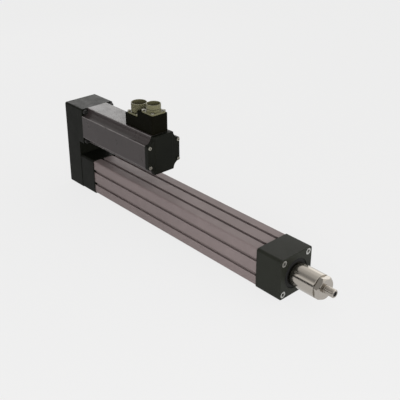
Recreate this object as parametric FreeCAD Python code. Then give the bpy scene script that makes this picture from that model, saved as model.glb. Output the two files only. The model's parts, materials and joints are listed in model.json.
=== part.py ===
import FreeCAD, Part
import math
import os

# Planetary roller screw electric cylinder with its servo motor folded back above the tube.
# Millimetres. +X is the thrust direction, +Z is up. The origin is the centre of the four
# base bolts, on the plane that the two black end blocks stand on.

V = FreeCAD.Vector

# Clearances shared by the pieces
running_fit = 0.05
loose_fit = 0.3
side_gap = 0.5
thread_runout = 3.0

# Socket screw proportions, as shares of the thread diameter
cap_head_share = 1.65
cap_socket_share = 0.8
cap_socket_depth_share = 0.55
flat_socket_share = 0.6
flat_socket_depth_share = 0.4

# Cylinder tube: square extrusion with two T-slots in each face
tube_wall = 7.0
tube_corner_r = 3.0
slot_pitch = 23.4
slot_mouth = 5.4
slot_lip = 1.4
slot_inner = 7.2
slot_depth = 4.2
key_groove_width = 8.0
key_groove_depth = 3.0

# Front head and rear bearing block
block_step = 1.5
block_corner_r = 4.0
edge_chamfer = 0.8
head_length = 45.0
block_length = 37.0
pilot_length = 5.0
bumper_thickness = 4.0
bumper_wall = 4.5
nose_rim = 0.6
nose_recess_depth = 1.5
wiper_width = 4.4
wiper_length = 8.0
wiper_lip = 0.6
wiper_relief = 1.0
wiper_shoulder = 2.0
seal_width = 4.0
seal_length = 8.0
seal_web = 3.0
bush_wall = 3.0

# Tie screws of head and rear block
tie_inset = 5.5
tie_d = 6.0
tie_grip = 18.0

# Base mounting threads under head and rear block
foot_pitch_y = 30.0
foot_thread_d = 5.0
foot_depth = 10.0

# Thrust rod
stroke = 280.0
stroke_spare = 11.0
rod_d = 35.0
rod_screw_gap = 2.1
rod_reach = 43.0
rod_edge = 0.6
rod_end_length = 9.0
rod_end_across = 30.0
rod_end_turn = 45.0
rod_end_bevel = 2.7
rod_end_bevel_length = 3.0
rod_end_relief = 0.8
rod_plug_length = 26.0
stud_d = 12.0
stud_length = 15.0
stud_bevel = 1.0
stud_neck_step = 0.9
stud_neck = 2.0
stud_hole_d = 6.6
stud_hole_depth = 12.0

# Planetary roller screw
screw_d = 19.8
screw_starts = 5
screw_spare = 8.0
screw_bevel = 2.0
roller_count = 8
roll_gap = 0.08
nut_wall = 2.5
nut_length = 56.0
nut_park_gap = 1.0
ring_gear_wall = 2.0
ring_gear_length = 5.0
snap_ring_width = 1.5
snap_ring_groove = 1.25
snap_ring_reach = 3.0
snap_ring_inset = 1.0
carrier_length = 4.0
carrier_gap = 0.6
journal_d = 3.4
roller_neck_step = 0.5
roller_neck = 1.0

# Coupling of nut and rod, with its keys and guide ring
coupling_sleeve = 1.5
rod_seat_wall = 5.0
nut_seat = 8.0
coupling_web = 4.0
rod_seat = 18.0
key_length = 14.0
key_foot = 2.0
guide_ring_length = 10.0
guide_ring_inset = 12.0
guide_groove = 0.5

# Screw bearings and lock nut
bearing_ring_share = 0.3
bearing_shield = 0.8
journal_bearing_bore = 17.0
screw_bearing_d = 40.0
screw_bearing_width = 12.0
retainer_width = 4.0
retainer_gap = 1.5
collar_d = 25.0
collar_length = 5.0
collar_gap = 2.5
lock_nut_wall = 5.5
lock_nut_length = 8.0
lock_nut_slot = 4.0
lock_nut_slot_depth = 1.5
pulley_seat_d = 15.0

# Belt drive
centre_distance = 87.0
housing_depth = 33.0
housing_corner_r = 3.0
housing_front_wall = 7.0
housing_side_wall = 6.0
cover_thickness = 5.0
belt_pitch = 5.0
pulley_tip_drop = 0.57
tooth_depth = 1.5
tooth_gap_top = 3.0
tooth_gap_root = 2.0
belt_width = 15.0
belt_thickness = 2.0
belt_side_gap = 0.4
pulley_flange = 1.6
pulley_flange_rim = 0.15
pulley_side_gap = 2.0
pulley_rear_gap = 1.5
cover_screw_edge = 0.8
cover_screw_d = 3.0
cover_screw_grip = 10.0
housing_screw_d = 3.0
housing_screw_wall = 1.4
housing_screw_grip = 10.0
lock_nut_gap = 3.0

# Servo motor
motor_size = 64.0
motor_scoop_r = 12.5
motor_edge_r = 0.8
motor_wall = 6.0
motor_flange_length = 13.0
motor_pilot_d = 40.0
motor_shaft_passage = 21.0
motor_pilot = 3.0
motor_spigot = 4.0
mount_screw_gap = 0.6
mount_screw_d = 5.0
mount_screw_grip = 6.0
rear_cap_thickness = 7.5
cap_panel_raise = 1.0
cap_panel_inset = 1.6
cap_panel_bevel = 0.6
cap_spigot_wall = 4.0
cap_screw_inset = 3.5
cap_screw_scoop_gap = 3.0
cap_screw_d = 3.0
cap_screw_head_d = 5.5
cap_screw_head = 2.0
cap_screw_grip = 12.0
motor_bearing_d = 32.0
motor_bearing_bore = 15.0
motor_bearing_width = 9.0
motor_shaft_d = 14.0
rotor_core_wall = 3.0
magnet_thickness = 2.0
stator_ring = 11.5
air_gap = 0.5
magnet_poles = 8
magnet_gap = 1.6
stator_front_gap = 20.0
stator_length = 88.0
stator_slots = 9
stator_back = 3.5
tooth_tip = 1.25
slot_width = 5.6
winding_overhang = 11.0
winding_bevel = 1.5
rear_bell_gap = 4.0
rear_bell_length = 14.0
rear_bell_passage = 20.0
encoder_shaft_d = 8.0
encoder_shaft_length = 20.0
encoder_disc_d = 36.0
encoder_disc_thickness = 1.5
encoder_hub = 5.0
encoder_hub_d = 16.0
encoder_disc_gap = 11.0
encoder_reader_gap = 1.5
encoder_reader_length = 8.0
encoder_reader_bore = 12.0
encoder_reader_rim = 4.0
encoder_reader_floor = 2.0
encoder_rear_gap = 8.0

# Connector block and its two round connectors
plug_low_height = 19.5
plug_high_height = 30.5
plug_block_corner_r = 1.5
plug_side_edge = 1.25
plug_rear_edge = 3.0
plug_step_gap = 0.5
plug_step_edge = 7.75
plug_front_edge = 0.75
plug_flange_edge = 1.25
plug_flange_thickness = 3.0
plug_flange_corner_r = 3.0
plug_tail_d = 17.0
plug_tail = 9.0
signal_barrel_d = 26.0
power_barrel_d = 23.5
signal_barrel_height = 15.5
power_barrel_height = 12.0
barrel_wall = 1.6
insert_floor = 0.8
insert_thickness = 3.0
pin_d = 1.6
signal_pin_height = 5.0
power_pin_height = 2.5
pin_circle_share = 0.62
signal_pins = 11
power_pins = 6
plug_screw_inset = 2.75
plug_screw_d = 3.0
plug_screw_grip = 6.0
plug_screw_head_d = 5.0
plug_screw_head = 1.6
plug_screw_slot = 0.7
wire_hole_d = 12.0

# Roller screw, nut, coupling and tube, from the screw outwards
roller_d = screw_d / (screw_starts - 2)
roller_orbit_r = (screw_d + roller_d) / 2
nut_bore = screw_d + 2 * roller_d
ring_gear_d = nut_bore + 2 * ring_gear_wall
nut_d = ring_gear_d + 2 * nut_wall
snap_ring_d = ring_gear_d + 2 * snap_ring_groove
snap_ring_bore = ring_gear_d - 2 * snap_ring_reach
carrier_bore = screw_d + 2 * carrier_gap
rod_bore = screw_d + 2 * rod_screw_gap
coupling_d = max(nut_d + 2 * coupling_sleeve, rod_d + 2 * rod_seat_wall)
tube_bore = coupling_d + 2 * side_gap
tube_size = tube_bore + 2 * tube_wall
tie_pitch = tube_size - 2 * tie_inset
block_size = tube_size + 2 * block_step

# Rod guide, from the rod outwards
bush_d = rod_d + 2 * bush_wall
seal_d = rod_d + 2 * seal_width
wiper_d = rod_d + 2 * wiper_width
nose_recess_d = wiper_d + 2 * nose_rim
stud_neck_d = stud_d - 2 * stud_neck_step

# Tube length: end stops, nut, coupling and stroke
parked_length = nut_park_gap + nut_length + coupling_web + rod_seat
tube_length = 2 * (pilot_length + bumper_thickness) + parked_length + stroke + stroke_spare

# Screw bearing seat
lock_nut_d = journal_bearing_bore + 2 * lock_nut_wall
retainer_bore = lock_nut_d + 2 * retainer_gap
nut_passage = lock_nut_d + 2 * lock_nut_gap
shaft_passage = collar_d + 2 * collar_gap
housing_screw_radius = (screw_bearing_d + housing_screw_d) / 2 + housing_screw_wall

# The belt housing is flush with the motor's sides and takes the largest pulleys that fit
housing_width = motor_size
cavity_r = housing_width / 2 - housing_side_wall
pulley_flange_d = 2 * (cavity_r - pulley_side_gap)
belt_room_r = pulley_flange_d / 2 - pulley_flange_rim - belt_thickness - running_fit
pulley_teeth = int(2 * math.pi * (belt_room_r + pulley_tip_drop) / belt_pitch)
cover_screw_inset = cover_screw_d + cover_screw_edge

# Motor section
motor_bore = motor_size - 2 * motor_wall
mount_head_r = cap_head_share * mount_screw_d / 2
mount_screw_inset = (motor_scoop_r - mount_head_r - mount_screw_gap) / math.sqrt(2)
mount_screw_pitch = motor_size - 2 * mount_screw_inset
cap_screw_y = motor_size / 2 - cap_screw_inset
cap_screw_z = motor_size / 2 - motor_scoop_r - cap_screw_scoop_gap
rotor_d = motor_bore - 2 * (stator_ring + air_gap)
rotor_core_d = rotor_d - 2 * magnet_thickness
rotor_shaft_d = rotor_core_d - 2 * rotor_core_wall
slot_root_d = motor_bore - 2 * stator_back
slot_top_d = rotor_d + 2 * (air_gap + tooth_tip)
drive_length = stator_front_gap + stator_length + winding_overhang + rear_bell_gap + rear_bell_length
encoder_length = encoder_disc_gap + encoder_disc_thickness + encoder_reader_gap + encoder_reader_length
motor_length = drive_length + encoder_length + encoder_rear_gap + motor_spigot

# Connector block, from the connector flanges outwards
plug_flange = max(signal_barrel_d, power_barrel_d) + 2 * plug_flange_edge
plug_screw_pitch = plug_flange - 2 * plug_screw_inset
plug_block_width = plug_flange + 2 * plug_side_edge
plug_low_length = plug_rear_edge + plug_flange + plug_step_gap
plug_block_length = plug_low_length + plug_step_edge + plug_flange + plug_front_edge
signal_inset = plug_rear_edge + plug_flange / 2
power_inset = plug_front_edge + plug_flange / 2

# Heights and stations that follow from the sizes above
axis_z = block_size / 2
motor_z = axis_z + centre_distance
base_span = head_length / 2 + tube_length + block_length / 2
x_front = base_span / 2 + head_length / 2
x_tube_front = x_front - head_length
x_tube_rear = x_tube_front - tube_length
x_block_rear = x_tube_rear - block_length
x_housing_rear = x_block_rear - housing_depth
x_cover_rear = x_housing_rear - cover_thickness
x_cavity_front = x_block_rear - housing_front_wall

# Screw end: bearings against a shoulder in the rear block, lock nut, pulley
x_retainer_front = x_block_rear + retainer_width
x_bearing_front = x_retainer_front + 2 * screw_bearing_width
x_lock_nut_rear = x_retainer_front - lock_nut_length
pulley_length = belt_width + 2 * (belt_side_gap + pulley_flange)
x_pulley_rear = x_housing_rear + pulley_rear_gap
x_pulley_front = x_pulley_rear + pulley_length
pulley_tip_r = pulley_teeth * belt_pitch / math.pi / 2 - pulley_tip_drop
belt_inner_r = pulley_tip_r + running_fit
belt_outer_r = belt_inner_r + belt_thickness

# Nut and rod, drawn in
x_nut_rear = x_tube_rear + pilot_length + bumper_thickness + nut_park_gap
x_nut_front = x_nut_rear + nut_length
x_coupling_rear = x_nut_front - nut_seat
x_rod_rear = x_nut_front + coupling_web
x_coupling_front = x_rod_rear + rod_seat
x_rod_front = x_front + rod_reach
x_stud_base = x_rod_front + rod_end_length
x_screw_front = x_nut_front + stroke + screw_spare
carrier_inset = snap_ring_inset + snap_ring_width + running_fit
ring_gear_inset = carrier_inset + carrier_length + loose_fit

# Motor stations
x_flange_front = x_block_rear + motor_flange_length
x_motor_front = x_flange_front + motor_length
x_cap_front = x_motor_front + rear_cap_thickness
x_stator_rear = x_flange_front + stator_front_gap
x_stator_front = x_stator_rear + stator_length
x_bell_rear = x_stator_front + winding_overhang + rear_bell_gap
x_bell_front = x_bell_rear + rear_bell_length
x_rear_bearing = x_bell_front - motor_bearing_width
x_front_bearing = x_flange_front - motor_bearing_width
x_disc = x_bell_front + encoder_disc_gap
x_reader = x_disc + encoder_disc_thickness + encoder_reader_gap
motor_top = motor_z + motor_size / 2

# Connector stations
x_plug_front = x_motor_front - side_gap
x_plug_rear = x_plug_front - plug_block_length
x_plug_step = x_plug_rear + plug_low_length
x_signal = x_plug_rear + signal_inset
x_power = x_plug_front - power_inset
signal_seat_z = motor_top + plug_low_height
power_seat_z = motor_top + plug_high_height


def cylinder(x0, x1, d, y=0.0, z=axis_z):
    """Round bar along X."""
    return Part.makeCylinder(d / 2, x1 - x0, V(x0, y, z), V(1, 0, 0))


def ring(x0, x1, outer_d, inner_d, z=axis_z):
    """Plain ring along X."""
    return cylinder(x0, x1, outer_d, 0, z).cut(cylinder(x0 - 1, x1 + 1, inner_d, 0, z))


def upright(d, z0, z1, x, y=0.0):
    """Round bar along Z."""
    return Part.makeCylinder(d / 2, z1 - z0, V(x, y, z0), V(0, 0, 1))


def turned(profile, y=0.0, z=axis_z):
    """Solid of revolution about an axis along X, from (x, radius) points."""
    points = [V(x, y, z + r) for x, r in profile]
    wire = Part.makePolygon(points + points[:1])
    return Part.Face(wire).revolve(V(0, y, z), V(1, 0, 0), 360)


def prism(outline, x0, x1):
    """Prism along X over a closed outline of (y, z) points."""
    points = [V(x0, y, z) for y, z in outline]
    wire = Part.makePolygon(points + points[:1])
    return Part.Face(wire).extrude(V(x1 - x0, 0, 0))


def long_edges(shape, length, axis):
    """Straight edges that run the given length along one axis."""
    found = []
    for edge in shape.Edges:
        run = edge.Vertexes[-1].Point - edge.Vertexes[0].Point
        if abs(abs(run[axis]) - length) < 0.001 and abs(run.Length - length) < 0.001:
            found.append(edge)
    return found


def rounded_bar(x0, x1, width, z0, z1, radius):
    """Rectangular bar along X with rounded long edges."""
    bar = Part.makeBox(x1 - x0, width, z1 - z0, V(x0, -width / 2, z0))
    return bar.makeFillet(radius, long_edges(bar, x1 - x0, 0))


def chamfer_end(shape, x, size):
    """Chamfer the outer edges of the end face at x."""
    faces = [f for f in shape.Faces if f.BoundBox.XLength < 0.001 and abs(f.CenterOfMass.x - x) < 0.001]
    outer = max(faces, key=lambda face: face.BoundBox.DiagonalLength)
    return shape.makeChamfer(size, outer.OuterWire.Edges)


def square_points(pitch, z=axis_z):
    """Corner points (y, z) of a square hole pattern."""
    half = pitch / 2
    return [(sy * half, z + sz * half) for sy in (-1, 1) for sz in (-1, 1)]


def ring_points(count, radius, z=axis_z, start=0.0):
    """Points (y, z) spread evenly on a circle."""
    angles = [start + 2 * math.pi * i / count for i in range(count)]
    return [(radius * math.cos(a), z + radius * math.sin(a)) for a in angles]


def hexagon(x0, x1, across, y, z):
    """Hexagonal bar along X."""
    corner = across / math.sqrt(3)
    outline = [(y + dy, z + dz) for dy, dz in ring_points(6, corner, 0.0)]
    return prism(outline, x0, x1)


def cap_screw(x_seat, way, d, grip, y, z, head_d=None, head_h=None):
    """Socket screw whose head stands on x_seat and whose shank runs the other way."""
    head_d = head_d or cap_head_share * d
    head_h = head_h or d
    x_top = x_seat + way * head_h
    x_tip = x_seat - way * grip
    shank_r = d / 2
    profile = [(x_top, 0), (x_top, head_d / 2), (x_seat, head_d / 2), (x_seat, shank_r)]
    profile += [(x_tip, shank_r), (x_tip, 0)]
    x_floor = x_top - way * head_h * cap_socket_depth_share
    socket = hexagon(min(x_top, x_floor), max(x_top, x_floor), cap_socket_share * d, y, z)
    return turned(profile, y, z).cut(socket)


def flat_screw(x_face, way, d, grip, y, z):
    """Countersunk screw, flush with x_face, whose shank runs away from way."""
    x_neck = x_face - way * d / 2
    x_tip = x_face - way * grip
    profile = [(x_face, 0), (x_face, d), (x_neck, d / 2), (x_tip, d / 2), (x_tip, 0)]
    x_floor = x_face - way * d * flat_socket_depth_share
    socket = hexagon(min(x_face, x_floor), max(x_face, x_floor), flat_socket_share * d, y, z)
    return turned(profile, y, z).cut(socket)


def flat_screw_seat(x_face, way, d, grip, y, z):
    """Hole with the countersink that a flush screw sits in."""
    x_neck = x_face - way * d / 2
    x_tip = x_face - way * grip
    hole_r = d / 2 + running_fit
    profile = [(x_face, 0), (x_face, d + running_fit), (x_neck, hole_r), (x_tip, hole_r), (x_tip, 0)]
    return turned(profile, y, z)


def drilled(shape, points, x0, x1, d):
    """Cut equal holes along X at (y, z) points."""
    return shape.cut([cylinder(x0, x1, d, y, z) for y, z in points])


def turned_about(shape, angle, z=axis_z):
    """Copy turned about the axis along X at height z."""
    copy = shape.copy()
    copy.rotate(V(0, 0, z), V(1, 0, 0), angle)
    return copy


def cylinder_tube():
    """Extruded tube: bore, two key grooves, two T-slots in each face, corner threads."""
    half = tube_size / 2
    tube = rounded_bar(x_tube_rear, x_tube_front, tube_size, axis_z - half, axis_z + half, tube_corner_r)
    cuts = [cylinder(x_tube_rear - 1, x_tube_front + 1, tube_bore)]
    groove_span = tube_bore + 2 * key_groove_depth
    groove = Part.makeBox(tube_length + 2, groove_span, key_groove_width,
                          V(x_tube_rear - 1, -groove_span / 2, axis_z - key_groove_width / 2))
    cuts.append(groove)
    top = axis_z + half
    for side in (-1, 1):
        y = side * slot_pitch / 2
        mouth = [(y - slot_mouth / 2, top + 1), (y - slot_mouth / 2, top - slot_lip),
                 (y - slot_inner / 2, top - slot_lip), (y - slot_inner / 2, top - slot_depth)]
        outline = mouth + [(2 * y - py, pz) for py, pz in reversed(mouth)]
        slot = prism(outline, x_tube_rear - 1, x_tube_front + 1)
        cuts += [turned_about(slot, angle) for angle in (0, 90, 180, 270)]
    tube = tube.cut(cuts)
    depth = tie_grip + thread_runout
    corners = square_points(tie_pitch)
    hole_d = tie_d + 2 * running_fit
    tube = drilled(tube, corners, x_tube_front - depth, x_tube_front + 1, hole_d)
    return drilled(tube, corners, x_tube_rear - 1, x_tube_rear + depth, hole_d)


def foot_holes(x):
    """Pair of upright threads in the underside of an end block."""
    return [upright(foot_thread_d, -1, foot_depth, x, side * foot_pitch_y / 2) for side in (-1, 1)]


def tie_passages(x_seat, x_outer, x_inner):
    """Counterbores and clearance holes for the tie screws of an end block."""
    cuts = []
    for y, z in square_points(tie_pitch):
        cuts.append(cylinder(min(x_inner, x_seat), max(x_inner, x_seat), tie_d + loose_fit, y, z))
        head_d = cap_head_share * tie_d + loose_fit
        cuts.append(cylinder(min(x_seat, x_outer), max(x_seat, x_outer), head_d, y, z))
    return cuts


tie_seat_depth = tie_d + side_gap


def front_head():
    """Square nose block: rod passage with seats for bush, seal and wiper."""
    head = rounded_bar(x_tube_front, x_front, block_size, 0, block_size, block_corner_r)
    head = chamfer_end(head, x_front, edge_chamfer)
    head = head.fuse(cylinder(x_tube_front - pilot_length, x_tube_front, tube_bore))
    x_wiper = x_front - nose_recess_depth - wiper_length
    x_seal = x_wiper - seal_length
    cuts = [cylinder(x_front - nose_recess_depth, x_front + 1, nose_recess_d),
            cylinder(x_wiper, x_front + 1, wiper_d),
            cylinder(x_seal, x_wiper + 1, seal_d),
            cylinder(x_tube_front - pilot_length - 1, x_front, rod_d + 2 * side_gap),
            cylinder(x_tube_front - pilot_length - 1, x_seal - seal_web, bush_d)]
    cuts += tie_passages(x_front - tie_seat_depth, x_front + 1, x_tube_front - 1)
    cuts += foot_holes(x_front - head_length / 2)
    return head.cut(cuts)


def head_screws():
    """Four socket screws that tie the head to the tube."""
    grip = head_length - tie_seat_depth + tie_grip
    x_seat = x_front - tie_seat_depth
    return [cap_screw(x_seat, 1, tie_d, grip, y, z) for y, z in square_points(tie_pitch)]


def rod_bushing():
    """Bronze guide bush pressed into the head."""
    x_seal = x_front - nose_recess_depth - wiper_length - seal_length
    return ring(x_tube_front - pilot_length, x_seal - seal_web, bush_d, rod_d + 2 * running_fit)


def rod_seal():
    """U-shaped rod seal, open towards the tube."""
    x1 = x_front - nose_recess_depth - wiper_length
    x0 = x1 - seal_length
    inner = rod_d / 2 + running_fit
    outer = seal_d / 2
    wall = (outer - inner) / 3
    profile = [(x0, inner), (x1, inner), (x1, outer), (x0, outer), (x0, outer - wall),
               (x0 + seal_length * 0.6, outer - 1.4 * wall), (x0, inner + wall)]
    return turned(profile)


def rod_wiper():
    """Wiper ring in the nose, with a lip that leans towards the rod end."""
    x1 = x_front - nose_recess_depth
    x0 = x1 - wiper_length
    inner = rod_d / 2 + running_fit
    outer = wiper_d / 2
    lip = x1 + nose_recess_depth - loose_fit
    profile = [(x0, inner + wiper_relief), (x0, outer), (x1, outer), (x1, inner + wiper_shoulder),
               (lip, inner + wiper_lip), (lip, inner), (x0 + wiper_length / 2, inner + wiper_relief)]
    return turned(profile)


def bumper(x0):
    """Rubber end-stop ring inside the tube."""
    outer = tube_bore - 2 * loose_fit
    return ring(x0, x0 + bumper_thickness, outer, outer - 2 * bumper_wall)


def front_bumper():
    return bumper(x_tube_front - pilot_length - bumper_thickness)


def rear_bumper():
    return bumper(x_tube_rear + pilot_length)


def rear_block():
    """Bearing block between the tube and the belt drive."""
    block = rounded_bar(x_block_rear, x_tube_rear, block_size, 0, block_size, block_corner_r)
    block = block.fuse(cylinder(x_tube_rear, x_tube_rear + pilot_length, tube_bore))
    cuts = [cylinder(x_block_rear - 1, x_bearing_front, screw_bearing_d),
            cylinder(x_bearing_front - 1, x_tube_rear + pilot_length + 1, shaft_passage)]
    cuts += tie_passages(x_block_rear + tie_seat_depth, x_block_rear - 1, x_tube_rear + 1)
    cuts += foot_holes(x_block_rear + block_length / 2)
    block = block.cut(cuts)
    depth = housing_screw_grip + thread_runout
    return drilled(block, housing_screw_points(), x_block_rear - 1, x_block_rear + depth,
                   housing_screw_d + 2 * running_fit)


def tube_screws():
    """Four socket screws that tie the rear block to the tube."""
    grip = block_length - tie_seat_depth + tie_grip
    x_seat = x_block_rear + tie_seat_depth
    return [cap_screw(x_seat, -1, tie_d, grip, y, z) for y, z in square_points(tie_pitch)]


def bearing_ring_radii(outer_d, bore):
    """Inner radius of the outer ring and outer radius of the inner ring."""
    wall = bearing_ring_share * (outer_d - bore) / 2
    return outer_d / 2 - wall, bore / 2 + wall


def bearing_outer(x0, width, outer_d, bore, z):
    """Outer ring of a sealed ball bearing, with a thin shield at each face."""
    x1 = x0 + width
    race_r, land_r = bearing_ring_radii(outer_d, bore)
    lip_r = land_r + loose_fit
    profile = [(x0, lip_r), (x0, outer_d / 2), (x1, outer_d / 2), (x1, lip_r), (x1 - bearing_shield, lip_r),
               (x1 - bearing_shield, race_r), (x0 + bearing_shield, race_r), (x0 + bearing_shield, lip_r)]
    return turned(profile, 0, z)


def bearing_inner(x0, width, outer_d, bore, z):
    """Inner ring of a sealed ball bearing."""
    land_r = bearing_ring_radii(outer_d, bore)[1]
    return ring(x0, x0 + width, 2 * land_r, bore, z)


screw_rows = [x_retainer_front, x_retainer_front + screw_bearing_width]
motor_rows = [x_front_bearing, x_rear_bearing]


def screw_bearing_outer():
    return [bearing_outer(x, screw_bearing_width, screw_bearing_d, journal_bearing_bore, axis_z)
            for x in screw_rows]


def screw_bearing_inner():
    return [bearing_inner(x, screw_bearing_width, screw_bearing_d, journal_bearing_bore, axis_z)
            for x in screw_rows]


def motor_bearing_outer():
    return [bearing_outer(x, motor_bearing_width, motor_bearing_d, motor_bearing_bore, motor_z)
            for x in motor_rows]


def motor_bearing_inner():
    return [bearing_inner(x, motor_bearing_width, motor_bearing_d, motor_bearing_bore, motor_z)
            for x in motor_rows]


def bearing_retainer():
    """Threaded ring that clamps the outer bearing rings, with two spanner slots."""
    plain = ring(x_block_rear, x_retainer_front, screw_bearing_d, retainer_bore)
    slot = Part.makeBox(retainer_width / 2, screw_bearing_d, retainer_width,
                        V(x_block_rear, -screw_bearing_d / 2, axis_z - retainer_width / 2))
    return plain.cut(slot)


def drive_outline(x0, x1):
    """Tall rounded plate that covers both shafts of the belt drive."""
    return rounded_bar(x0, x1, housing_width, 0, motor_top, housing_corner_r)


def drive_cavity(x0, x1, radius):
    """Round-ended slot round both shafts."""
    web = Part.makeBox(x1 - x0, 2 * radius, centre_distance, V(x0, -radius, axis_z))
    ends = [cylinder(x0, x1, 2 * radius, 0, z) for z in (axis_z, motor_z)]
    return web.fuse(ends)


def cover_screw_points():
    """Three screws down each side of the belt cover."""
    y = housing_width / 2 - cover_screw_inset
    heights = (cover_screw_inset, (axis_z + motor_z) / 2, motor_top - cover_screw_inset)
    return [(side * y, z) for side in (-1, 1) for z in heights]


def housing_screw_points():
    """Four flush screws round the screw shaft."""
    return ring_points(4, housing_screw_radius, axis_z, math.pi / 4)


def mount_screw_points():
    return square_points(mount_screw_pitch, motor_z)


def belt_housing():
    """Deep housing of the belt drive, open at the rear."""
    shell = drive_outline(x_housing_rear, x_block_rear)
    cuts = [drive_cavity(x_housing_rear - 1, x_cavity_front, cavity_r),
            cylinder(x_cavity_front - 1, x_block_rear + 1, nut_passage),
            cylinder(x_cavity_front - 1, x_block_rear + 1, motor_pilot_d, 0, motor_z)]
    for y, z in housing_screw_points():
        grip = housing_front_wall + 1
        cuts.append(flat_screw_seat(x_cavity_front, -1, housing_screw_d, grip, y, z))
    shell = shell.cut(cuts)
    shell = drilled(shell, mount_screw_points(), x_cavity_front - 1, x_block_rear + 1,
                    mount_screw_d + 2 * running_fit)
    depth = cover_screw_grip + thread_runout
    return drilled(shell, cover_screw_points(), x_housing_rear - 1, x_housing_rear + depth,
                   cover_screw_d + 2 * running_fit)


def housing_screws():
    """Flush screws that hold the belt housing to the rear block."""
    grip = housing_front_wall + housing_screw_grip
    return [flat_screw(x_cavity_front, -1, housing_screw_d, grip, y, z) for y, z in housing_screw_points()]


def belt_cover():
    """Flat rear cover of the belt drive."""
    plate = drive_outline(x_cover_rear, x_housing_rear)
    plate = chamfer_end(plate, x_cover_rear, edge_chamfer)
    seats = [flat_screw_seat(x_cover_rear, -1, cover_screw_d, cover_thickness + 1, y, z)
             for y, z in cover_screw_points()]
    return plate.cut(seats)


def belt_cover_screws():
    grip = cover_thickness + cover_screw_grip
    return [flat_screw(x_cover_rear, -1, cover_screw_d, grip, y, z) for y, z in cover_screw_points()]


def pulley_outline(z):
    """Toothed outline of a pulley as (y, z) points, one tooth gap per pitch."""
    outline = []
    root_r = pulley_tip_r - tooth_depth
    for gap in range(pulley_teeth):
        middle = 2 * math.pi * gap / pulley_teeth
        half_top = tooth_gap_top / pulley_tip_r / 2
        half_root = tooth_gap_root / root_r / 2
        corners = [(pulley_tip_r, -half_top), (root_r, -half_root),
                   (root_r, half_root), (pulley_tip_r, half_top)]
        outline += [(r * math.cos(middle + a), z + r * math.sin(middle + a)) for r, a in corners]
    return outline


def pulley(bore, z):
    """Flanged timing pulley."""
    x_belt_rear = x_pulley_rear + pulley_flange
    x_belt_front = x_pulley_front - pulley_flange
    wheel = prism(pulley_outline(z), x_belt_rear, x_belt_front)
    flanges = [cylinder(x_pulley_rear, x_belt_rear, pulley_flange_d, 0, z),
               cylinder(x_belt_front, x_pulley_front, pulley_flange_d, 0, z)]
    return wheel.fuse(flanges).cut(cylinder(x_pulley_rear - 1, x_pulley_front + 1, bore, 0, z))


def driven_pulley():
    return pulley(pulley_seat_d, axis_z)


def motor_pulley():
    return pulley(motor_shaft_d, motor_z)


def timing_belt():
    """Belt loop round both pulleys, shown with a smooth inner side at the tooth tips."""
    x0 = x_pulley_rear + pulley_flange + belt_side_gap
    x1 = x0 + belt_width
    return drive_cavity(x0, x1, belt_outer_r).cut(drive_cavity(x0 - 1, x1 + 1, belt_inner_r))


def screw_shaft():
    """Screw with its collar, bearing journal and pulley seat."""
    seat_r = pulley_seat_d / 2
    journal_r = journal_bearing_bore / 2
    thread_r = screw_d / 2
    x_collar = x_bearing_front + collar_length
    profile = [(x_pulley_rear, 0), (x_pulley_rear, seat_r), (x_pulley_front, seat_r),
               (x_pulley_front, journal_r), (x_bearing_front, journal_r),
               (x_bearing_front, collar_d / 2), (x_collar, collar_d / 2), (x_collar, thread_r),
               (x_screw_front - screw_bevel, thread_r), (x_screw_front, thread_r - screw_bevel),
               (x_screw_front, 0)]
    return turned(profile)


def screw_lock_nut():
    """Round lock nut behind the inner bearing rings, with four spanner slots."""
    nut = ring(x_lock_nut_rear, x_retainer_front, lock_nut_d, journal_bearing_bore)
    slot = Part.makeBox(lock_nut_length - lock_nut_slot / 2, lock_nut_d, lock_nut_slot,
                        V(x_lock_nut_rear, -lock_nut_d / 2, axis_z - lock_nut_slot / 2))
    core = cylinder(x_lock_nut_rear - 1, x_retainer_front + 1, lock_nut_d - 2 * lock_nut_slot_depth)
    slots = [turned_about(slot, angle).cut(core) for angle in (0, 90)]
    return nut.cut(slots)


def nut_body():
    """Roller screw nut: thread bore, seats for ring gears and carriers, guide ring groove."""
    nut = cylinder(x_nut_rear, x_nut_front, nut_d)
    seat = ring_gear_inset + ring_gear_length
    cuts = [cylinder(x_nut_rear - 1, x_nut_front + 1, nut_bore),
            cylinder(x_nut_rear - 1, x_nut_rear + seat, ring_gear_d),
            cylinder(x_nut_front - seat, x_nut_front + 1, ring_gear_d)]
    cuts += [cylinder(x, x + snap_ring_width, snap_ring_d) for x in snap_ring_stations()]
    x0 = x_nut_rear + guide_ring_inset
    cuts.append(ring(x0, x0 + guide_ring_length, nut_d + 1, nut_d - 2 * guide_groove))
    return nut.cut(cuts)


def snap_ring_stations():
    return [x_nut_rear + snap_ring_inset, x_nut_front - snap_ring_inset - snap_ring_width]


def nut_snap_rings():
    """Split rings that keep the roller carriers in the nut."""
    rings = []
    for x in snap_ring_stations():
        gap = Part.makeBox(snap_ring_width + 2, snap_ring_width * 2, snap_ring_d,
                           V(x - 1, -snap_ring_width, axis_z))
        rings.append(ring(x, x + snap_ring_width, snap_ring_d, snap_ring_bore).cut(gap))
    return rings


def nut_ring_gears():
    """Synchronising rings at both ends of the nut thread."""
    bore = nut_bore + 2 * running_fit
    rear = x_nut_rear + ring_gear_inset
    front = x_nut_front - ring_gear_inset - ring_gear_length
    return [ring(x, x + ring_gear_length, ring_gear_d, bore) for x in (rear, front)]


def guide_ring():
    """Low-friction ring that carries the nut in the tube bore."""
    x0 = x_nut_rear + guide_ring_inset
    return ring(x0, x0 + guide_ring_length, tube_bore - 2 * running_fit, nut_d - 2 * guide_groove)


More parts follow.
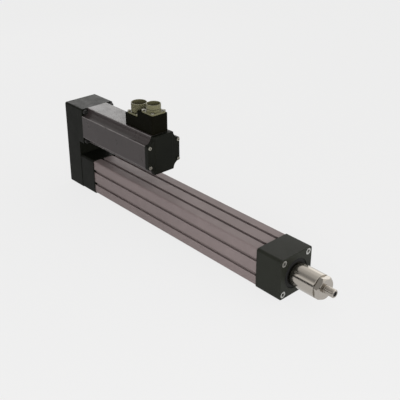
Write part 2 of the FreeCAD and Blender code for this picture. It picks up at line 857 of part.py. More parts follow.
def nut_coupling():
    """Coupling that joins nut and rod and carries the two keys."""
    body = cylinder(x_coupling_rear, x_coupling_front, coupling_d)
    cuts = [cylinder(x_coupling_rear - 1, x_nut_front, nut_d),
            cylinder(x_nut_front - 1, x_rod_rear + 1, rod_bore),
            cylinder(x_rod_rear, x_coupling_front + 1, rod_d)]
    return body.cut(cuts + [key_block(side, 0.0) for side in (-1, 1)])


def key_block(side, reach):
    """Key on one side of the coupling, raised into the tube groove by reach."""
    foot_r = coupling_d / 2 - key_foot
    top_r = tube_bore / 2 + reach
    x0 = x_rod_rear + (rod_seat - key_length) / 2
    y0 = foot_r if side > 0 else -top_r
    width = key_groove_width - 2 * running_fit
    return Part.makeBox(key_length, top_r - foot_r, width, V(x0, y0, axis_z - width / 2))


def anti_rotation_keys():
    """Two keys that slide in the tube grooves and stop the rod turning."""
    return [key_block(side, key_groove_depth - loose_fit) for side in (-1, 1)]


def rod_tube():
    """Hollow thrust rod with a broken front edge."""
    rod_r = rod_d / 2
    bore_r = rod_bore / 2
    return turned([(x_rod_rear, bore_r), (x_rod_rear, rod_r), (x_rod_front - rod_edge, rod_r),
                   (x_rod_front, rod_r - rod_edge), (x_rod_front, bore_r)])


def rod_end_hexagon():
    """Hexagon of the rod end, turned down to a round face at both ends."""
    corner_r = rod_end_across / math.sqrt(3)
    face_r = corner_r - rod_end_bevel
    blank = turned([(x_rod_front, 0), (x_rod_front, face_r), (x_rod_front + rod_end_relief, corner_r),
                    (x_stud_base - rod_end_bevel_length, corner_r), (x_stud_base, face_r), (x_stud_base, 0)])
    bar = hexagon(x_rod_front, x_stud_base, rod_end_across, 0, axis_z)
    return blank.common(turned_about(bar, rod_end_turn))


def rod_end():
    """Screwed-in rod end: plug, bevelled hexagon and a hollow threaded stud."""
    plug = cylinder(x_rod_front - rod_plug_length, x_rod_front, rod_bore)
    x_tip = x_stud_base + stud_length
    stud_r = stud_d / 2
    x_thread = x_stud_base + stud_neck
    neck_r = stud_neck_d / 2
    profile = [(x_stud_base, 0), (x_stud_base, neck_r), (x_thread, neck_r), (x_thread, stud_r),
               (x_tip - stud_bevel, stud_r), (x_tip, stud_r - stud_bevel), (x_tip, 0)]
    body = rod_end_hexagon().fuse([plug, turned(profile)])
    return body.cut(cylinder(x_tip - stud_hole_depth, x_tip + 1, stud_hole_d))


def roller_places():
    return ring_points(roller_count, roller_orbit_r)


def roller_carrier():
    """Two spacer discs that hold the roller journals."""
    outer = ring_gear_d - 2 * running_fit
    discs = []
    for x in (x_nut_rear + carrier_inset, x_nut_front - carrier_inset - carrier_length):
        disc = ring(x, x + carrier_length, outer, carrier_bore)
        discs.append(drilled(disc, roller_places(), x - 1, x + carrier_length + 1,
                             journal_d + 2 * running_fit))
    return discs


def roller(y, z):
    """Planet roller: threaded middle, toothed ends and a journal at each end."""
    x0 = x_nut_rear + carrier_inset
    x1 = x_nut_front - carrier_inset
    shoulder = carrier_length + loose_fit / 2
    tooth_r = roller_d / 2 - roll_gap
    neck_r = tooth_r - roller_neck_step
    x_teeth = x0 + shoulder
    x_neck = x_teeth + ring_gear_length
    x_thread = x_neck + roller_neck
    left = [(x0, 0), (x0, journal_d / 2), (x_teeth, journal_d / 2), (x_teeth, tooth_r),
            (x_neck, tooth_r), (x_neck, neck_r), (x_thread, neck_r), (x_thread, tooth_r)]
    right = [(x0 + x1 - x, r) for x, r in reversed(left)]
    return turned(left + right, y, z)


def scooped_bar(x0, x1):
    """Square motor section with a round trough along each corner."""
    half = motor_size / 2
    bar = Part.makeBox(x1 - x0, motor_size, motor_size, V(x0, -half, motor_z - half))
    bar = bar.cut([cylinder(x0 - 1, x1 + 1, 2 * motor_scoop_r, y, z)
                   for y, z in square_points(motor_size, motor_z)])
    return bar.makeFillet(motor_edge_r, long_edges(bar, x1 - x0, 0))


def motor_flange():
    """Front flange of the motor: square plate, pilot, spigot and bearing seat."""
    half = motor_size / 2
    plate = rounded_bar(x_block_rear, x_flange_front, motor_size, motor_z - half, motor_top, housing_corner_r)
    plate = plate.fuse([cylinder(x_block_rear - motor_pilot, x_block_rear, motor_pilot_d, 0, motor_z),
                        cylinder(x_flange_front, x_flange_front + motor_spigot, motor_bore, 0, motor_z)])
    cuts = [cylinder(x_block_rear - motor_pilot - 1, x_flange_front, motor_shaft_passage, 0, motor_z),
            cylinder(x_front_bearing, x_flange_front + motor_spigot + 1, motor_bearing_d, 0, motor_z)]
    return drilled(plate.cut(cuts), mount_screw_points(), x_block_rear - 1, x_flange_front + 1,
                   mount_screw_d + loose_fit)


def motor_mount_screws():
    """Socket screws in the corner troughs that hold the motor to the belt housing."""
    grip = motor_flange_length + mount_screw_grip
    return [cap_screw(x_flange_front, 1, mount_screw_d, grip, y, z) for y, z in mount_screw_points()]


def cap_screw_points():
    return [(sy * cap_screw_y, motor_z + sz * cap_screw_z) for sy in (-1, 1) for sz in (-1, 1)]


def motor_housing():
    """Extruded motor body with a wire hole under the connector block."""
    body = scooped_bar(x_flange_front, x_motor_front)
    cuts = [cylinder(x_flange_front - 1, x_motor_front + 1, motor_bore, 0, motor_z),
            upright(wire_hole_d, motor_z, motor_top + 1, x_power)]
    depth = cap_screw_grip + thread_runout
    return drilled(body.cut(cuts), cap_screw_points(), x_motor_front - depth, x_motor_front + 1,
                   cap_screw_d + 2 * running_fit)


def motor_rear_cap():
    """Rear cap of the motor with a spigot and a slightly raised middle panel."""
    cap = scooped_bar(x_motor_front, x_cap_front)
    half = motor_size / 2 - motor_scoop_r - cap_panel_inset
    reach = motor_size / 2 - cap_panel_inset
    panel = Part.makeBox(cap_panel_raise, 2 * half, 2 * reach, V(x_cap_front, -half, motor_z - reach))
    panel = panel.makeChamfer(cap_panel_bevel, panel.Faces[1].Edges)
    spigot = ring(x_motor_front - motor_spigot, x_motor_front, motor_bore,
                  motor_bore - 2 * cap_spigot_wall, motor_z)
    return drilled(cap.fuse([panel, spigot]), cap_screw_points(), x_motor_front - 1, x_cap_front + 1,
                   cap_screw_d + loose_fit)


def motor_cap_screws():
    grip = rear_cap_thickness + cap_screw_grip
    return [cap_screw(x_cap_front, 1, cap_screw_d, grip, y, z, cap_screw_head_d, cap_screw_head)
            for y, z in cap_screw_points()]


def motor_rear_bell():
    """Inner plate that holds the rear motor bearing."""
    plate = cylinder(x_bell_rear, x_bell_front, motor_bore, 0, motor_z)
    return plate.cut([cylinder(x_bell_rear - 1, x_bell_front, rear_bell_passage, 0, motor_z),
                      cylinder(x_rear_bearing, x_bell_front + 1, motor_bearing_d, 0, motor_z)])


def slot_bar(x0, x1, width, inner_d, outer_d):
    """Bar in the uppermost stator slot."""
    return Part.makeBox(x1 - x0, width, (outer_d - inner_d) / 2, V(x0, -width / 2, motor_z + inner_d / 2))


def around_motor(shape, count):
    return [turned_about(shape, 360.0 * i / count, motor_z) for i in range(count)]


def stator_core():
    """Slotted stator stack pressed into the motor body."""
    stack = ring(x_stator_rear, x_stator_front, motor_bore, rotor_d + 2 * air_gap, motor_z)
    space = slot_bar(x_stator_rear - 1, x_stator_front + 1, slot_width, slot_top_d, slot_root_d)
    return stack.cut(around_motor(space, stator_slots))


def stator_windings():
    """Copper winding: slot bars joined by the end turns."""
    bar = slot_bar(x_stator_rear - 1, x_stator_front + 1, slot_width, slot_top_d, slot_root_d)
    ends = []
    for x0, x1 in ((x_stator_rear - winding_overhang, x_stator_rear),
                   (x_stator_front, x_stator_front + winding_overhang)):
        inner = slot_top_d / 2
        outer = slot_root_d / 2
        profile = [(x0, inner + winding_bevel), (x0, outer - winding_bevel), (x0 + winding_bevel, outer),
                   (x1 - winding_bevel, outer), (x1, outer - winding_bevel), (x1, inner + winding_bevel),
                   (x1 - winding_bevel, inner), (x0 + winding_bevel, inner)]
        ends.append(turned(profile, 0, motor_z))
    return ends[0].fuse(ends[1:] + around_motor(bar, stator_slots))


def rotor_shaft():
    """Motor shaft with pulley seat, two bearing journals and encoder end."""
    seat_r = motor_shaft_d / 2
    journal_r = motor_bearing_bore / 2
    core_r = rotor_shaft_d / 2
    tail_r = encoder_shaft_d / 2
    x_tail = x_bell_front + encoder_shaft_length
    profile = [(x_pulley_rear, 0), (x_pulley_rear, seat_r), (x_front_bearing, seat_r),
               (x_front_bearing, journal_r), (x_flange_front, journal_r), (x_flange_front, core_r),
               (x_rear_bearing, core_r), (x_rear_bearing, journal_r), (x_bell_front, journal_r),
               (x_bell_front, tail_r), (x_tail, tail_r), (x_tail, 0)]
    return turned(profile, 0, motor_z)


def rotor_core():
    return ring(x_stator_rear, x_stator_front, rotor_core_d, rotor_shaft_d, motor_z)


def rotor_magnets():
    """Arc magnets on the rotor, split by narrow gaps."""
    shell = ring(x_stator_rear, x_stator_front, rotor_d, rotor_core_d, motor_z)
    gap = Part.makeBox(stator_length + 2, rotor_d + 2, magnet_gap,
                       V(x_stator_rear - 1, -rotor_d / 2 - 1, motor_z - magnet_gap / 2))
    half_turn = magnet_poles // 2
    gaps = [turned_about(gap, 180.0 * i / half_turn, motor_z) for i in range(half_turn)]
    return shell.cut(gaps).Solids


def encoder_disc():
    """Encoder disc with its hub on the shaft end."""
    hub = ring(x_disc - encoder_hub, x_disc, encoder_hub_d, encoder_shaft_d, motor_z)
    disc = ring(x_disc, x_disc + encoder_disc_thickness, encoder_disc_d, encoder_shaft_d, motor_z)
    return hub.fuse(disc)


def encoder_reader():
    """Encoder reading head: round board carrier seated in the motor bore."""
    x1 = x_reader + encoder_reader_length
    board = ring(x_reader, x1, motor_bore, encoder_reader_bore, motor_z)
    pocket = ring(x_reader + encoder_reader_floor, x1 + 1, motor_bore - 2 * encoder_reader_rim,
                  encoder_reader_bore + 2 * encoder_reader_rim, motor_z)
    return board.cut(pocket)


def connector_block():
    """Two-step block on top of the motor that carries the connectors."""
    outline = [(x_plug_rear, motor_top), (x_plug_front, motor_top), (x_plug_front, power_seat_z),
               (x_plug_step, power_seat_z), (x_plug_step, signal_seat_z), (x_plug_rear, signal_seat_z)]
    points = [V(x, -plug_block_width / 2, z) for x, z in outline]
    block = Part.Face(Part.makePolygon(points + points[:1])).extrude(V(0, plug_block_width, 0))
    corners = long_edges(block, plug_high_height, 2) + long_edges(block, plug_low_height, 2)
    block = block.makeFillet(plug_block_corner_r, corners)
    cuts = []
    for x, seat in ((x_signal, signal_seat_z), (x_power, power_seat_z)):
        cuts.append(upright(plug_tail_d, seat - plug_tail - side_gap, seat + 1, x))
        cuts += [upright(plug_screw_d + 2 * running_fit, seat - plug_screw_grip - 1, seat + 1, px, py)
                 for px, py in plug_screw_points(x)]
    return block.cut(cuts)


def plug_screw_points(x):
    """Corner screws (x, y) of one connector flange."""
    half = plug_screw_pitch / 2
    return [(x + sx * half, sy * half) for sx in (-1, 1) for sy in (-1, 1)]


def connector_shell(x, seat, barrel_d, barrel_height):
    """Round connector: square flange, tail in the block and open barrel."""
    half = plug_flange / 2
    plate = Part.makeBox(plug_flange, plug_flange, plug_flange_thickness, V(x - half, -half, seat))
    plate = plate.makeFillet(plug_flange_corner_r, long_edges(plate, plug_flange_thickness, 2))
    top = seat + plug_flange_thickness + barrel_height
    shell = plate.fuse([upright(barrel_d, seat, top, x), upright(plug_tail_d, seat - plug_tail, seat, x)])
    cuts = [upright(barrel_d - 2 * barrel_wall, insert_seat(seat), top + 1, x)]
    cuts += [upright(plug_screw_d + loose_fit, seat - 1, seat + plug_flange_thickness + 1, px, py)
             for px, py in plug_screw_points(x)]
    return shell.cut(cuts)


def insert_seat(seat):
    """Height of the floor that a contact insert stands on."""
    return seat + insert_floor


def signal_connector():
    return connector_shell(x_signal, signal_seat_z, signal_barrel_d, signal_barrel_height)


def power_connector():
    return connector_shell(x_power, power_seat_z, power_barrel_d, power_barrel_height)


def connector_inserts():
    """Insulating discs at the bottom of both barrels."""
    discs = []
    for x, seat, barrel_d in ((x_signal, signal_seat_z, signal_barrel_d),
                              (x_power, power_seat_z, power_barrel_d)):
        floor = insert_seat(seat)
        discs.append(upright(barrel_d - 2 * barrel_wall, floor, floor + insert_thickness, x))
    return discs


def connector_pins():
    """Contact pins that stand on the inserts."""
    pins = []
    sets = ((x_signal, signal_seat_z, signal_barrel_d, signal_pins, signal_pin_height),
            (x_power, power_seat_z, power_barrel_d, power_pins, power_pin_height))
    for x, seat, barrel_d, count, height in sets:
        foot = insert_seat(seat) + insert_thickness
        circle = (barrel_d / 2 - barrel_wall) * pin_circle_share
        places = ring_points(count, circle, 0.0) + [(0.0, 0.0)]
        pins += [upright(pin_d, foot, foot + height, x + px, py) for px, py in places]
    return pins


def connector_screws():
    """Small pan-head screws in the flange corners."""
    screws = []
    for x, seat in ((x_signal, signal_seat_z), (x_power, power_seat_z)):
        top = seat + plug_flange_thickness
        for px, py in plug_screw_points(x):
            shank = upright(plug_screw_d, seat - plug_screw_grip, top, px, py)
            head = upright(plug_screw_head_d, top, top + plug_screw_head, px, py)
            slot = Part.makeBox(plug_screw_head_d, plug_screw_slot, plug_screw_slot,
                                V(px - plug_screw_head_d / 2, py - plug_screw_slot / 2,
                                  top + plug_screw_head - plug_screw_slot))
            screws.append(head.fuse(shank).cut(slot))
    return screws


PIECES = [
    cylinder_tube, front_head, head_screws, rod_bushing, rod_seal, rod_wiper, front_bumper,
    rear_bumper, rear_block, tube_screws, screw_bearing_outer,
    bearing_retainer, belt_housing, housing_screws, belt_cover, belt_cover_screws, timing_belt,
    motor_flange, motor_mount_screws, motor_housing, motor_rear_cap, motor_cap_screws,
    motor_rear_bell, stator_core, stator_windings, motor_bearing_outer,
    encoder_reader, connector_block, power_connector, signal_connector, connector_screws,
    connector_inserts, connector_pins, rod_tube, rod_end, nut_body, nut_coupling,
    anti_rotation_keys, guide_ring, nut_ring_gears, nut_snap_rings, screw_shaft,
    screw_bearing_inner, screw_lock_nut, driven_pulley, roller_carrier, rotor_shaft, rotor_core,
    rotor_magnets, motor_pulley, encoder_disc, motor_bearing_inner,
]


def save(name, shape):
    """Write one sub-part, a single solid or a group of equal solids."""
    if isinstance(shape, list):
        shape = Part.makeCompound(shape)
    shape.exportStep(os.path.join("parts", name + ".step"))


def main():
    os.makedirs("parts", exist_ok=True)
    for piece in PIECES:
        save(piece.__name__, piece())
    for number, (y, z) in enumerate(roller_places(), start=1):
        save("roller_%d" % number, roller(y, z))


main()
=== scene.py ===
# %% [markdown]
# A roller screw electric cylinder, dressed for its portrait.
# The solid model is already made: a square tube, a rod, a belt drive and a motor folded back on
# top. This lesson loads it as a fixed frame, gives every piece a finish made from nodes, and adds
# the fine things that solids leave out, such as threads, knurls and rounded rims.

# %% Load the solid model
import json
import math

import bpy
import numpy as np
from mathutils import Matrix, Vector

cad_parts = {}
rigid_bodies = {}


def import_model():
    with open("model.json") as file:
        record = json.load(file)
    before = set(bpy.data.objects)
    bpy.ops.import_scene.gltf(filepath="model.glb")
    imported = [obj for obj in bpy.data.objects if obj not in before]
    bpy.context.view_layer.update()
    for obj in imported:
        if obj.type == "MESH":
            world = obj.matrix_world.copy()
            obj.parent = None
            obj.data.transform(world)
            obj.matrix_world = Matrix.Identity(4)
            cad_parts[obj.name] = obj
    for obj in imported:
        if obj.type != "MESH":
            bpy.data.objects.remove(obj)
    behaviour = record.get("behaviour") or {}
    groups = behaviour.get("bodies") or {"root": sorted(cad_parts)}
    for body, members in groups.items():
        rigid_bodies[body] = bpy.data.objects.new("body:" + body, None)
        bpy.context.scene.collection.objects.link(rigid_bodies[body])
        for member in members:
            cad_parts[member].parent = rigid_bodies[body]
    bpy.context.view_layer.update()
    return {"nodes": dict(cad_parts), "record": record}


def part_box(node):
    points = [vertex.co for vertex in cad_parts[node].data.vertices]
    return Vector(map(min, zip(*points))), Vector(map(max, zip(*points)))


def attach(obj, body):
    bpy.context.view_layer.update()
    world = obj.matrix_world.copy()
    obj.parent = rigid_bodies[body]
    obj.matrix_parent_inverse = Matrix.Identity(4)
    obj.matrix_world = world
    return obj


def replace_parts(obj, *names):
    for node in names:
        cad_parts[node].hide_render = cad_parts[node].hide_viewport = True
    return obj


for leftover in list(bpy.data.objects):
    bpy.data.objects.remove(leftover)
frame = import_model()
nodes = frame["nodes"]

# %% [markdown]
# Shader nodes are easier to read when a few helpers make them.
# One adds a node, sets its choices and fills its inputs with constants or with other sockets. The
# others stand for nodes that come back often: simple maths, a fade, a noise and a mix of colours.
# The last opens a node group with named inputs and outputs, because several finishes share the
# same effects, and a group is built once and placed many times.

# %% Helpers for shader nodes
FLOAT = "NodeSocketFloat"
VECTOR = "NodeSocketVector"
MIX_LOW, MIX_HIGH, MIX_COLOUR = 6, 7, 2


def feed(tree, socket, value):
    """Join an input to another socket, or write a constant on it; a colour gets full opacity."""
    if isinstance(value, bpy.types.NodeSocket):
        tree.links.new(value, socket)
    elif socket.type == "RGBA":
        socket.default_value = (*value, 1.0)
    else:
        socket.default_value = value


def add(tree, kind, inputs=None, **choices):
    """New shader node: choices are its attributes, inputs are constants or sockets to join."""
    made = tree.nodes.new(kind)
    for name, value in choices.items():
        setattr(made, name, value)
    for name, value in (inputs or {}).items():
        feed(tree, made.inputs[name], value)
    return made


def maths(tree, operation, first, second=0.0):
    """Socket with a simple operation on one or two values, such as their product."""
    return add(tree, "ShaderNodeMath", {0: first, 1: second}, operation=operation).outputs[0]


def fade(tree, value, start, end, shape="LINEAR"):
    """Socket that goes from 0 to 1 while a value goes from start to end."""
    ramp = add(tree, "ShaderNodeMapRange", {"Value": value, "From Min": start, "From Max": end},
               interpolation_type=shape)
    return ramp.outputs["Result"]


def object_place(tree):
    """Socket with the point's place in the object's own frame."""
    return add(tree, "ShaderNodeTexCoord").outputs["Object"]


def noise(tree, place, scale, detail, roughness=0.5):
    """Socket with a soft noise about one half; detail and roughness rule its finer layers."""
    made = add(tree, "ShaderNodeTexNoise",
               {"Vector": place, "Scale": scale, "Detail": detail, "Roughness": roughness})
    return made.outputs["Fac"]


def two_tone(tree, factor, low, high):
    """Colour that runs from low to high with a factor. The Mix node uses the same names for its
    number, vector and colour sockets, so the colour ones are taken by their places."""
    mixed = add(tree, "ShaderNodeMix", {"Factor": factor, MIX_LOW: low, MIX_HIGH: high},
                data_type="RGBA")
    return mixed.outputs[MIX_COLOUR]


def new_group(name, inputs, outputs):
    """Empty node group with its sockets; inputs are (label, socket type, default)."""
    group = bpy.data.node_groups.new(name, "ShaderNodeTree")
    for label, kind, default in inputs:
        socket = group.interface.new_socket(label, in_out="INPUT", socket_type=kind)
        socket.default_value = default
    for label, kind in outputs:
        group.interface.new_socket(label, in_out="OUTPUT", socket_type=kind)
    return group, group.nodes.new("NodeGroupInput"), group.nodes.new("NodeGroupOutput")


print("helpers ready")

# %% [markdown]
# Every finish has a grain: blasted aluminium is evenly pitted, an extrusion carries long drawn
# lines, a ground rod carries fine rings. All are one noise, stretched differently along X, Y and Z.
# An image would blur close up, so the noise reads Object coordinates and stays sharp from anywhere.

# %% Shared effect: surface grain
grain_group, given, result = new_group(
    "surface_grain",
    [("Stretch", VECTOR, (1.0, 1.0, 1.0)), ("Scale", FLOAT, 1500.0)],
    [("Height", FLOAT)])
stretched = add(grain_group, "ShaderNodeVectorMath",
                {0: object_place(grain_group), 1: given.outputs["Stretch"]}, operation="MULTIPLY")
pitted = noise(grain_group, stretched.outputs[0], given.outputs["Scale"], detail=3.0, roughness=0.6)
feed(grain_group, result.inputs["Height"], pitted)
print("grain group", len(grain_group.nodes), "nodes")

# %% [markdown]
# No handled surface is equally clean or equally glossy all over.
# A broad, weak noise gives the drift from one patch to the next; each finish decides how much of
# it goes into colour and how much into roughness.

# %% Shared effect: handling marks
marks_group, given, result = new_group(
    "handling_marks",
    [("Scale", FLOAT, 25.0), ("Low", FLOAT, 0.0), ("High", FLOAT, 1.0)],
    [("Value", FLOAT)])
patchy = noise(marks_group, object_place(marks_group), given.outputs["Scale"], detail=4.0,
               roughness=0.55)
spread = add(marks_group, "ShaderNodeMapRange",
             {"Value": patchy, "From Min": 0.3, "From Max": 0.7,
              "To Min": given.outputs["Low"], "To Max": given.outputs["High"]})
feed(marks_group, result.inputs["Value"], spread.outputs["Result"])
print("marks group", len(marks_group.nodes), "nodes")

# %% [markdown]
# A machined edge is never razor sharp: it is broken by a file or a tumbling drum and catches light.
# The Bevel node bends the shading normal near an edge, and how far it bends is also a mask of where
# the coating wears first. Real bevels on every solid would cost many faces for half a pixel.

# %% Shared effect: broken edges
STRAIGHT, BENT = 0.99, 0.8

edge_group, given, result = new_group(
    "broken_edges",
    [("Radius", FLOAT, 0.0004), ("Ragged", FLOAT, 300.0)],
    [("Normal", VECTOR), ("Mask", FLOAT)])
bevel = add(edge_group, "ShaderNodeBevel", {"Radius": given.outputs["Radius"]}, samples=4)
flat = add(edge_group, "ShaderNodeNewGeometry").outputs["Normal"]
agree = add(edge_group, "ShaderNodeVectorMath", {0: bevel.outputs["Normal"], 1: flat},
            operation="DOT_PRODUCT")
near = fade(edge_group, agree.outputs["Value"], STRAIGHT, BENT)
ragged = noise(edge_group, object_place(edge_group), given.outputs["Ragged"], detail=2.0)
feed(edge_group, result.inputs["Normal"], bevel.outputs["Normal"])
feed(edge_group, result.inputs["Mask"], maths(edge_group, "MULTIPLY", near, ragged))
print("edge group", len(edge_group.nodes), "nodes")

# %% [markdown]
# One recipe serves all finishes, because each is a base colour that drifts a little, a roughness
# that drifts a little, a grain that bends the light and an edge that wears.
# What makes it aluminium, chrome or plastic is the set of numbers, and those that are the same all
# over the surface are written on the shader's own sockets.

# %% The finish recipe
BLASTED = (1.0, 1.0, 1.0)
DRAWN = (0.012, 1.0, 1.0)
TURNED_X = (1.0, 0.02, 0.02)
TURNED_Z = (0.02, 0.02, 1.0)
WOUND = (1.0, 1.0, 0.1)
COLOUR_PATCHES, GLOSS_PATCHES = 22.0, 60.0
finishes = {}


def place_group(tree, group, values):
    """Put a shared effect into a material and set its inputs."""
    return add(tree, "ShaderNodeGroup", values, node_tree=group)


def finish(slot, *, colour, rough, grain, scale, depth, metallic=0.0, specular=0.5, drift=0.08,
           edge=0.0004, worn=None):
    """Finish of one slot: colour times 1 -+ drift over broad patches, towards worn on broken edges;
    roughness between two values; grain of a given scale as a bump of a given depth."""
    material = bpy.data.materials.new(slot + "_finish")
    material.use_nodes = True
    tree = material.node_tree
    patches = place_group(tree, marks_group, {"Scale": COLOUR_PATCHES})
    low = tuple(c * (1.0 - drift) for c in colour)
    high = tuple(min(1.0, c * (1.0 + drift)) for c in colour)
    skin = two_tone(tree, patches.outputs["Value"], low, high)
    edges = place_group(tree, edge_group, {"Radius": edge})
    if worn:
        skin = two_tone(tree, edges.outputs["Mask"], skin, worn)
    gloss = place_group(tree, marks_group,
                        {"Scale": GLOSS_PATCHES, "Low": rough[0], "High": rough[1]})
    pits = place_group(tree, grain_group, {"Stretch": grain, "Scale": scale})
    bump = add(tree, "ShaderNodeBump",
               {"Strength": 1.0, "Distance": depth, "Height": pits.outputs["Height"],
                "Normal": edges.outputs["Normal"]})
    shader = tree.nodes["Principled BSDF"].inputs
    feed(tree, shader["Base Color"], skin)
    feed(tree, shader["Metallic"], metallic)
    feed(tree, shader["Specular IOR Level"], specular)
    feed(tree, shader["Roughness"], gloss.outputs["Value"])
    feed(tree, shader["Normal"], bump.outputs["Normal"])
    finishes[slot] = material


def overlay(slot, mask, tone):
    """Lay another tone over the colour of a finish where a mask is 1."""
    tree = finishes[slot].node_tree
    base = tree.nodes["Principled BSDF"].inputs["Base Color"]
    feed(tree, base, two_tone(tree, mask, base.links[0].from_socket, tone))


print("recipe ready")

# %% [markdown]
# The tube and the motor body are aluminium extrusions with a satin anodised skin. The tube is a
# warm, dull grey; the motor is dyed darker and is smoother, so its top mirrors the room and looks
# pale while its sides stay dark. Drawn lines run along X, because the profile was pushed through
# its die that way.

# %% Anodised extrusions
finish("tube_aluminium", colour=(0.181, 0.147, 0.145), rough=(0.38, 0.5), metallic=0.1,
       specular=0.15, grain=DRAWN, scale=900.0, depth=2e-5, drift=0.06, worn=(0.3, 0.27, 0.265))
finish("motor_aluminium", colour=(0.034, 0.028, 0.028), rough=(0.26, 0.34), specular=0.22,
       grain=DRAWN, scale=900.0, depth=1.5e-5, drift=0.06, worn=(0.12, 0.11, 0.11))
print("extrusions", sorted(finishes))

# %% [markdown]
# The motor's profile has a round trough along each corner, and a pale tone is painted along the
# trough's thin lips: a painted highlight for the glint of light on their rounded edges.
# The mask is the distance to the lip in the motor's cross-section. Folding the section along its
# two middles and its diagonal brings all eight lips to one point, so one distance serves them all.

# %% Painted highlight on the lips of the motor's troughs
TROUGH_R = 0.0125
LIP_BRIGHT, LIP_GONE = 0.0005, 0.0013
motor_low, motor_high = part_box("motor_housing")
motor_half = (motor_high[1] - motor_low[1]) / 2
motor_middle = (motor_high[2] + motor_low[2]) / 2
lip_place = motor_half - TROUGH_R

lip_group, given, result = new_group(
    "worn_lips",
    [("Middle", FLOAT, 0.1), ("Half", FLOAT, 0.03), ("Lip", FLOAT, 0.02)],
    [("Mask", FLOAT)])
here = object_place(lip_group)
point = add(lip_group, "ShaderNodeSeparateXYZ", {0: here})
above = maths(lip_group, "SUBTRACT", point.outputs["Z"], given.outputs["Middle"])
upright = maths(lip_group, "ABSOLUTE", above)
across = maths(lip_group, "ABSOLUTE", point.outputs["Y"])
folded = add(lip_group, "ShaderNodeCombineXYZ",
             {"X": maths(lip_group, "MAXIMUM", across, upright),
              "Y": maths(lip_group, "MINIMUM", across, upright)})
lip_point = add(lip_group, "ShaderNodeCombineXYZ",
                {"X": given.outputs["Half"], "Y": given.outputs["Lip"]})
apart = add(lip_group, "ShaderNodeVectorMath", {0: folded.outputs[0], 1: lip_point.outputs[0]},
            operation="DISTANCE")
close = fade(lip_group, apart.outputs["Value"], LIP_GONE, LIP_BRIGHT)
# a noise breaks the painted highlight into patches along the lips
highlight_breakup = noise(lip_group, here, scale=60.0, detail=3.0)
feed(lip_group, result.inputs["Mask"], maths(lip_group, "MULTIPLY", close, highlight_breakup))

# painted highlight: a pale tone laid over the motor's colour along the lips
lips = place_group(finishes["motor_aluminium"].node_tree, lip_group,
                   {"Middle": motor_middle, "Half": motor_half, "Lip": lip_place})
overlay("motor_aluminium", lips.outputs["Mask"], tone=(0.28, 0.26, 0.26))
print("lips at", round(lip_place, 4), "m from the motor's middle")

# %% [markdown]
# The end blocks, the belt housing and the motor's flange and cap are machined aluminium, blasted
# and dyed black. The dye is deep and dull with a faint green cast, and edges wear to a dark grey.
# The front head has a finish of its own, one shade paler: a lit copy of the same black, painted
# light for the stronger light that falls at the front. The connector block is a moulded plastic,
# blacker still, with a slightly coarser grain.

# %% Black parts
finish("black_aluminium", colour=(0.0048, 0.0053, 0.0038), rough=(0.36, 0.46), specular=0.057,
       grain=BLASTED, scale=1800.0, depth=3e-5, drift=0.15, edge=0.0005, worn=(0.026, 0.027, 0.022))
# paler copy of black_aluminium for the front head: painted light, where the light falls stronger
finish("black_head", colour=(0.0122, 0.0133, 0.0098), rough=(0.36, 0.46), specular=0.11,
       grain=BLASTED, scale=1800.0, depth=3e-5, drift=0.12, edge=0.0005, worn=(0.034, 0.036, 0.03))
finish("block_plastic", colour=(0.0034, 0.0032, 0.0018), rough=(0.5, 0.6), specular=0.02,
       grain=BLASTED, scale=1500.0, depth=4e-5, drift=0.1, edge=0.0006)
finish("dark_plastic", colour=(0.008, 0.008, 0.008), rough=(0.45, 0.6), specular=0.25,
       grain=BLASTED, scale=2500.0, depth=2e-5)
finish("seal_rubber", colour=(0.009, 0.009, 0.009), rough=(0.6, 0.75), specular=0.2,
       grain=BLASTED, scale=1200.0, depth=4e-5)
finish("black_steel", colour=(0.02, 0.02, 0.019), rough=(0.35, 0.45), metallic=0.3, specular=0.4,
       grain=BLASTED, scale=2500.0, depth=1e-5, drift=0.1, edge=0.0003)
print("black parts", len(finishes), "finishes so far")

# %% [markdown]
# The rod is ground and hard chromed: a mirror, softened by fine rings from the grinding wheel.
# Its colour is a warm silver. The screws are zinc plated and a little duller; the small ones of the
# motor's cap and the connectors have gone grey and warm with age. The connector shells are plated
# and then dipped in an olive bath, whose skin is dull enough to look nearly like paint.

# %% Bright metals
finish("chromed_steel", colour=(0.43, 0.4, 0.36), rough=(0.14, 0.18), metallic=1.0,
       grain=TURNED_X, scale=2200.0, depth=1.5e-6, drift=0.03, edge=0.0003)
finish("screw_steel", colour=(0.52, 0.52, 0.5), rough=(0.45, 0.55), metallic=1.0,
       grain=BLASTED, scale=2500.0, depth=1e-5, edge=0.0003)
finish("aged_screws", colour=(0.33, 0.32, 0.28), rough=(0.45, 0.55), metallic=1.0,
       grain=BLASTED, scale=2500.0, depth=1e-5, drift=0.1, edge=0.0003)
# paler olive on broken edges: partly wear, partly a painted highlight on the knurl's crests
finish("connector_metal", colour=(0.106, 0.1005, 0.0555), rough=(0.3, 0.4), metallic=0.12,
       specular=0.3, grain=TURNED_Z, scale=1600.0, depth=1e-5, drift=0.12, edge=0.00045,
       worn=(0.22, 0.21, 0.14))
finish("contact_gold", colour=(0.62, 0.45, 0.18), rough=(0.2, 0.3), metallic=1.0,
       grain=TURNED_Z, scale=3000.0, depth=3e-6, drift=0.05, edge=0.0002)
print("bright metals", len(finishes), "finishes so far")

# %% [markdown]
# The grooves of the signal connector's knurl are painted nearly black between olive diamonds:
# painted shade for the shadow in its hollows. Pointiness says how far the surface round a point
# bends
# in or out: below one half it is a hollow. That is the mask, and no picture has to be painted for
# it.

# %% Painted shade in the hollows
EVEN, HOLLOW = 0.49, 0.42
tree = finishes["connector_metal"].node_tree
bend = add(tree, "ShaderNodeNewGeometry").outputs["Pointiness"]
